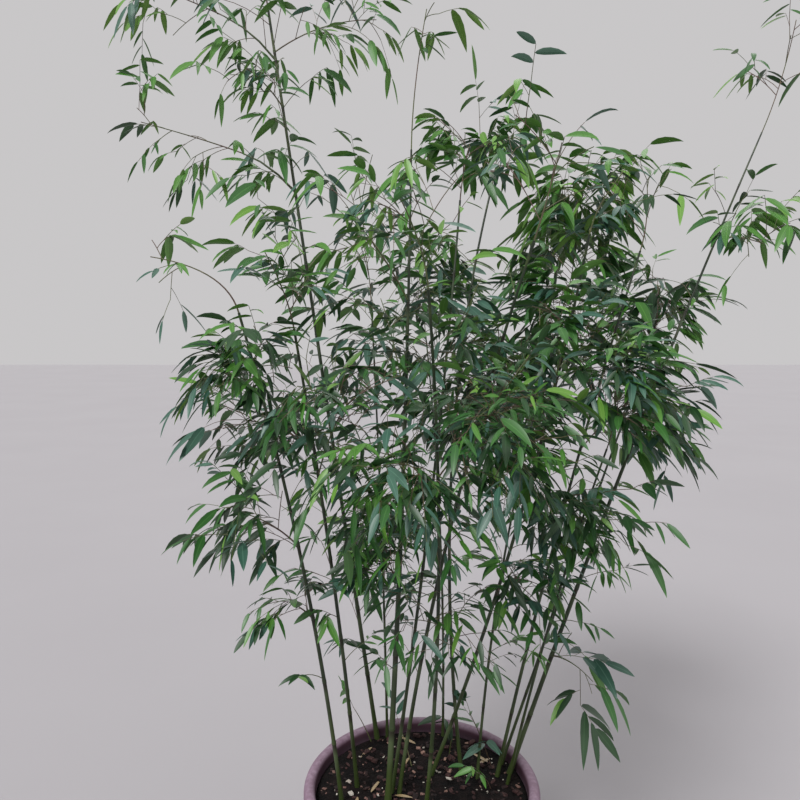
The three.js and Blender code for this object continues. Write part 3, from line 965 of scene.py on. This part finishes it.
def tubeMesh(name, tubes):  # round limbs along their curves, joined into one mesh
    points, faces = [], []
    for curve, radius, tip, rings, sides in tubes:
        base = len(points)
        side = np.cross(onwardAt(curve, 0), curve[2] - curve[0] + east * 0.01)
        side = unit(side) if norm(side) > 1e-6 else unit(np.cross(onwardAt(curve, 0), east))
        for ring in range(rings):
            share = ring / (rings - 1)
            onward = onwardAt(curve, share)
            over = unit(np.cross(side, onward))
            level = np.cross(over, onward)
            for k in range(sides):
                angle = math.tau * k / sides
                outward = level * math.cos(angle) + over * math.sin(angle)
                points.append(pointAt(curve, share) + outward * (radius + (tip - radius) * share))
        last = len(points) - sides
        for here in range(base, last, sides):
            for k in range(sides):
                after = (k + 1) % sides
                faces.append((here + k, here + after, here + sides + after, here + sides + k))
        faces.append(tuple(reversed(range(base, base + sides))))
        faces.append(tuple(range(last, last + sides)))
    piece = meshPiece(name, np.array(points), faces)
    smoothed(piece, "twig")
    return piece


# Canes, each a line with a radius at every station, thickened at its joints

caneShape = Values(
    internode=165, step=34, finest=5, sunk=9, sides=4, tallest=1800, measured=40,
    # The high colour is painted shade among the leaves, and the top colour is painted light near the tips
    low=(54, 68, 30), high=(25, 39, 20), top=(70, 80, 48), streak=(62, 76, 38),
    blotch=(42, 38, 26), bloom=(82, 96, 66), scar=(32, 26, 18),
)
# Round a joint: distance from it in millimetres, swelling of the radius, dark scar, pale bloom
jointProfile = (
    (-26, 1.0, 0, 0.0), (-14, 1.01, 0, 0.7), (-4, 1.03, 0, 1.0), (-2.2, 1.14, 0.6, 0.2), (-1.2, 1.16, 1, 0),
    (-0.4, 1.06, 1, 0), (0.6, 1.07, 0.8, 0), (2.0, 1.19, 0.1, 0), (4.0, 1.13, 0, 0), (8.0, 1.02, 0, 0),
)


def caneStations(length, leaving):
    anchors = sorted({0.0, 1.0, *(share for share in leaving if share < 1)})
    joints = []
    for lower, upper in zip(anchors, anchors[1:]):
        pieces = max(1, round((upper - lower) * length / caneShape.internode))
        joints += [lower + (upper - lower) * i / pieces for i in range(1, pieces + 1)]
    stations = [(joint * length + away, swell, scar, bloom)
                for joint in joints[:-1] for away, swell, scar, bloom in jointProfile]
    taken = np.array([place for place, *rest in stations])
    plain = np.linspace(0, length, max(3, int(length / caneShape.step)))
    stations += [(place, 1.0, 0.0, 0.0) for place in plain
                 if not len(taken) or np.abs(taken - place).min() > caneShape.finest]
    return sorted(stations)


def modelCane(node, curve, radius, leaving):
    isBough = node.startswith("bough")
    starts, ends = straightPieces(curve, caneShape.measured)
    length = float(norm(ends - starts, axis=1).sum())
    rows = caneStations(length, leaving)
    if not isBough:
        rows.insert(0, (-caneShape.sunk, 1.0, 0.0, 0.0))
    bpy.ops.curve.primitive_nurbs_path_add(radius=1, location=(0, 0, 0))
    piece = bpy.context.object
    piece.name = node.replace("cane_", "bambooCane_").replace("bough_", "bambooBough_")
    line = piece.data
    line.splines.clear()
    spline = line.splines.new("POLY")
    spline.points.add(len(rows) - 1)
    for point, (place, swell, scar, bloom) in zip(spline.points, rows):
        share = max(place / length, 0)
        if isBough:
            thick = radius * (1 + (growth.boughTip * slim.stem - 1) * share)
        else:
            thick = caneRadius(radius, share) * slimmer(node, share)
        centre = pointAt(curve, share) + onwardAt(curve, 0) * min(place, 0)
        point.co = (*(centre * mm), 1)
        point.radius = thick * swell * mm
    line.bevel_depth = 1.0
    line.bevel_resolution = caneShape.sides
    line.use_fill_caps = True
    bpy.ops.object.convert(target="MESH")
    piece = bpy.context.object
    rings = rows + [rows[0], rows[-1]]  # the end caps have rings of their own
    sides = len(piece.data.vertices) // len(rings)
    for name, column, whole in (("height", 0, caneShape.tallest), ("scar", 2, 1), ("bloom", 3, 1)):
        giveValues(piece, name, "POINT", np.repeat([row[column] / whole for row in rings], sides))
    smoothed(piece, "cane")
    return piece


oliveCane = caneFinish(caneShape)
for node, curve, radius, leaving in limbs:
    dress(modelCane(node, curve, radius, leaving), oliveCane, "cane", node)
print("bamboo:", len(limbs), "canes and boughs")

# Pot: a tapered wall under a rolled lip, hollow, with drain holes

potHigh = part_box("pot")[1]
potShape = Values(
    sides=120, foot=0.188, neck=0.243, lip=potHigh.x, height=potHigh.z, lipDepth=0.03,
    mouth=0.235, floor=0.012, innerFoot=0.180, soil=0.375,
    round=0.0115, roundSteps=6, footRound=0.006, footSteps=3,
    holes=4, holeRadius=0.009, holeCircle=0.105, holeSides=24, drill=0.048,
    # The inner-wall colour is painted shade
    mauve=(110, 84, 101), faded=(130, 108, 124), paintedInnerShade=(68, 34, 50),
    # The worn colour on the rim top is partly rubbed wear and partly a painted highlight
    aboveSoilDark=(30, 19, 23), worn=(152, 133, 148), dust=(130, 116, 108),
)


def stretchRing(ratio):
    bpy.ops.transform.resize(value=(ratio, ratio, 1), center_override=(0, 0, 0))


def growWall(radius, height, outline):  # from the picked ring, through rings of these radii and heights
    for nextRadius, nextHeight in outline:
        rise = nextHeight - height
        bpy.ops.mesh.extrude_region_move(TRANSFORM_OT_translate={"value": (0, 0, rise)})
        stretchRing(nextRadius / radius)
        radius, height = nextRadius, nextHeight


def modelPot(shape):
    under = shape.height - shape.lipDepth
    pot = cylinder(shape.sides, shape.foot, under, (0, 0, under / 2))
    pot.name = "plantPot"
    pickUpward(pot, 0.9)
    stretchRing(shape.neck / shape.foot)
    growWall(shape.neck, under, (
        (shape.lip, under), (shape.lip, shape.height), (shape.mouth, shape.height),
        (shape.mouth, under), (shape.innerFoot, shape.floor)))
    pickRings(pot, lambda p: p.xy.length > shape.lip - hair
              or p.xy.length > shape.mouth - hair and p.z > shape.height - hair)
    bpy.ops.mesh.bevel(offset=shape.round, segments=shape.roundSteps, affect="EDGES")
    pickRings(pot, lambda p: p.z < hair and p.xy.length > shape.foot - hair)
    bpy.ops.mesh.bevel(offset=shape.footRound, segments=shape.footSteps, affect="EDGES")
    bpy.ops.mesh.select_all(action="SELECT")
    bpy.ops.mesh.normals_make_consistent(inside=False)
    inMode("OBJECT")
    return pot


def drillPot(pot, shape):
    drills = []
    for i in range(shape.holes):
        angle = i * math.tau / shape.holes
        place = (math.cos(angle) * shape.holeCircle, math.sin(angle) * shape.holeCircle, 0)
        drills.append(cylinder(shape.holeSides, shape.holeRadius, shape.drill, place))
    for drill in drills:
        drill.select_set(True)
    bpy.ops.object.join()
    drill = bpy.context.object
    applied(pot, "BOOLEAN", operation="DIFFERENCE", object=drill, solver="MANIFOLD")
    bpy.data.objects.remove(drill)


pot = modelPot(potShape)
drillPot(pot, potShape)
smoothed(pot, "pot")
dress(pot, potFinish(potShape), "pot", "pot")
print("bamboo: pot")

# Soil: a bed with clods up to the wall, strewn with bark, stones and a few dry leaves

soilShape = Values(
    sides=96, top=0.375, rimDip=0.006, rim=0.2343, flat=0.226, foot=0.1794,
    floor=0.0125, rings=15, dark=(9, 7, 7), brown=(24, 17, 16), fleck=(64, 48, 44),
)
lumps = {"clods": (0.016, 0.034), "crumbs": (0.006, 0.011)}  # how high and how wide they are, in metres


def modelSoil(shape):
    depth = shape.top - shape.rimDip - shape.floor
    soil = cylinder(shape.sides, shape.foot, depth, (0, 0, shape.floor + depth / 2))
    soil.name = "soilBed"
    pickUpward(soil, 0.9)
    stretchRing(shape.rim / shape.foot)
    growWall(shape.rim, shape.floor + depth, ((shape.flat, shape.top),))
    for ring in range(shape.rings - 1):
        bpy.ops.mesh.inset(thickness=shape.flat / shape.rings)
    bpy.ops.mesh.poke()
    inMode("OBJECT")
    pickUpward(soil, 0.5)
    bpy.ops.mesh.subdivide(number_cuts=1)
    inMode("OBJECT")
    surface = soil.vertex_groups.new(name="surface")
    for point in soil.data.vertices:
        if point.co.z > shape.top - hair and point.co.xy.length < shape.flat - 2 * hair:
            surface.add([point.index], 1.0, "REPLACE")
    for name, (height, size) in lumps.items():
        texture = bpy.data.textures.new(name, "CLOUDS")
        setAll(texture, {"noise_scale": size, "noise_depth": 3})
        applied(soil, "DISPLACE", texture=texture, direction="Z", strength=height, mid_level=0.5,
                texture_coords="LOCAL", vertex_group="surface")
    return soil


soil = modelSoil(soilShape)
smoothed(soil, "soil")
dress(soil, soilFinish("darkCompost", soilShape), "soil", "soil")
print("bamboo: soil")

# What lies on the bed. The big ones stand out: place in millimetres, length, width.
litter = {
    "darkBark": Values(
        count=330, long=(7, 21), big=(),
        dark=(26, 18, 18), light=(60, 38, 37), fleck=(98, 70, 66)),
    "paleBark": Values(
        count=110, long=(5, 15), big=(),
        dark=(100, 74, 68), light=(142, 112, 100), fleck=(176, 152, 134)),
    "paleStones": Values(
        count=60, long=(4, 9), big=((62, 38, 21, 9), (-163, 24, 13, 10), (-156, -14, 15, 10)),
        dark=(150, 142, 132), light=(192, 186, 176), fleck=(214, 208, 198)),
}
chips = Values(
    seed=88, within=222, mostShort=1.6, wide=(0.35, 0.4), thick=(0.35, 0.4), worn=0.45,
    tilt=0.9, roll=0.7, turn=6.28, raised=0.25, bevel=0.0009,
)
chipCorners = np.array([(x, y, z) for x in (-1, 1) for y in (-1, 1) for z in (-1, 1)], float)
chipFaces = ((0, 1, 3, 2), (4, 6, 7, 5), (0, 4, 5, 1), (2, 3, 7, 6), (0, 2, 6, 4), (1, 5, 7, 3))


def soilHeight(x, y):  # in millimetres, read off the bed
    hit, place, *rest = soil.ray_cast(Vector((x * mm, y * mm, 0.5)), Vector((0, 0, -1)))
    return place.z / mm if hit else growth.soilTop


def onBed(within, random):
    reach = within * math.sqrt(random())
    angle = random() * math.tau
    return reach * math.cos(angle), reach * math.sin(angle)


def strew(name, look, random):
    points, faces = [], []
    rows = list(look.big)
    shortest, longest = look.long
    while len(rows) < look.count:
        place = onBed(chips.within, random)
        long = shortest + (longest - shortest) * random() ** chips.mostShort
        rows.append((*place, long, long * random(*chips.wide)))
    for x, y, long, wide in rows:
        thick = wide * random(*chips.thick)
        corners = chipCorners * (0.5 * long, 0.5 * wide, 0.5 * thick)
        corners *= [[random(1, -chips.worn) for axis in range(3)] for corner in range(8)]
        tilt, roll = (random() - 0.5) * chips.tilt, (random() - 0.5) * chips.roll
        turn = Euler((tilt, roll, random() * chips.turn)).to_matrix()
        place = np.array((x, y, soilHeight(x, y) + thick * chips.raised))
        base = len(points)
        points += list(corners @ np.array(turn).T + place)
        faces += [tuple(base + corner for corner in face) for face in chipFaces]
    piece = meshPiece(name, np.array(points), faces)
    applied(piece, "BEVEL", width=chips.bevel, segments=1, limit_method="NONE")
    smoothed(piece, "chip")
    return piece


strewing = seeded(chips.seed)
for name, look in litter.items():
    dress(strew(name, look, strewing), barkFinish(name + "Finish", look), "soil")
print("bamboo: bark and stones")

# Foliage pieces

massNodes = ["mass_" + mass.name for mass in masses]
twigLook = Values(green=(78, 88, 48), purple=(86, 66, 58), straw=(128, 118, 78))
dress(tubeMesh("bambooTwigs", twigTubes), twigFinish(twigLook), "cane", *massNodes)
print("bamboo: twigs")
for tone, (*shares, upper, under) in leafTones.items():
    finish = leafFinish("bambooLeaf" + tone, leafLook(upper, under))
    dress(leafMesh("bambooLeaves" + tone, leaves[tone]), finish, "leaf", *massNodes)
print("bamboo: leaves")

fallen = Values(
    seed=313, count=16, within=205, lift=4, length=(45, 30), width=8, sag=0.06,
    rise=0.05, tilt=0.5, upper=(140, 118, 84), under=(138, 120, 90),
)


def dryLeaves():  # fallen ones, flat on the bed
    random = seeded(fallen.seed)
    grown = []
    for i in range(fallen.count):
        x, y = onBed(fallen.within, random)
        turn = random() * math.tau
        heading = unit(np.array((math.cos(turn), math.sin(turn), fallen.rise)))
        across = unit(np.cross(heading, up) + up * (random() - 0.5) * fallen.tilt)
        root = np.array((x, y, soilHeight(x, y) + fallen.lift))
        grown.append((root, heading, across, random(*fallen.length), fallen.width, fallen.sag))
    return leafMesh("dryLeaves", grown)


dress(dryLeaves(), leafFinish("dryLeaf", leafLook(fallen.upper, fallen.under)), "soil")

# Floor, light and camera

stage = Values(
    floorSize=60, floor=(152, 149, 152), floorPale=(158, 155, 158), floorRough=0.9,
    sky=(238, 236, 237), skyStrength=0.68,
    camera=(-0.0478, -1.4716, 1.3854), cameraTilt=84.6, lens=31.5, sensor=36,
)
bpy.ops.mesh.primitive_plane_add(size=stage.floorSize, location=(0, 0, 0))
floor = bpy.context.object
floor.name = "paleFloor"
floorFinish = Finish("paleFloor")
floorColour = floorFinish.layers(stage, "floor", (floorFinish.noise(0.8, 3.0), "floorPale"))
floor.data.materials.append(floorFinish.close(floorColour, stage.floorRough))

world = bpy.data.worlds.new("softSky")
bpy.context.scene.world = world
world.use_nodes = True
sky = world.node_tree.nodes["Background"]
sky.inputs["Color"].default_value = tint(*stage.sky)
sky.inputs["Strength"].default_value = stage.skyStrength

lamps = (  # name, where it shines from, how wide its light is in degrees, strength
    ("keyLight", (-2.0, -3.2, 4.2), 22, 3.0), ("fillLight", (3.6, -1.6, 2.4), 50, 0.5),
    ("backLight", (0.8, 3.4, 3.2), 40, 0.6),
)
for name, place, wide, strength in lamps:
    bpy.ops.object.light_add(type="SUN", location=place)
    lamp = bpy.context.object
    lamp.name = name
    lamp.data.angle = math.radians(wide)
    lamp.data.energy = strength
    lamp.rotation_euler = (-lamp.location).to_track_quat("-Z", "Y").to_euler()

bpy.ops.object.camera_add(location=stage.camera, rotation=(math.radians(stage.cameraTilt), 0, 0))
camera = bpy.context.object
camera.name = "photoCamera"
camera.data.lens = stage.lens
camera.data.sensor_width = stage.sensor
bpy.context.scene.camera = camera

bpy.context.scene.view_settings.view_transform = "Standard"

print("bamboo: done")
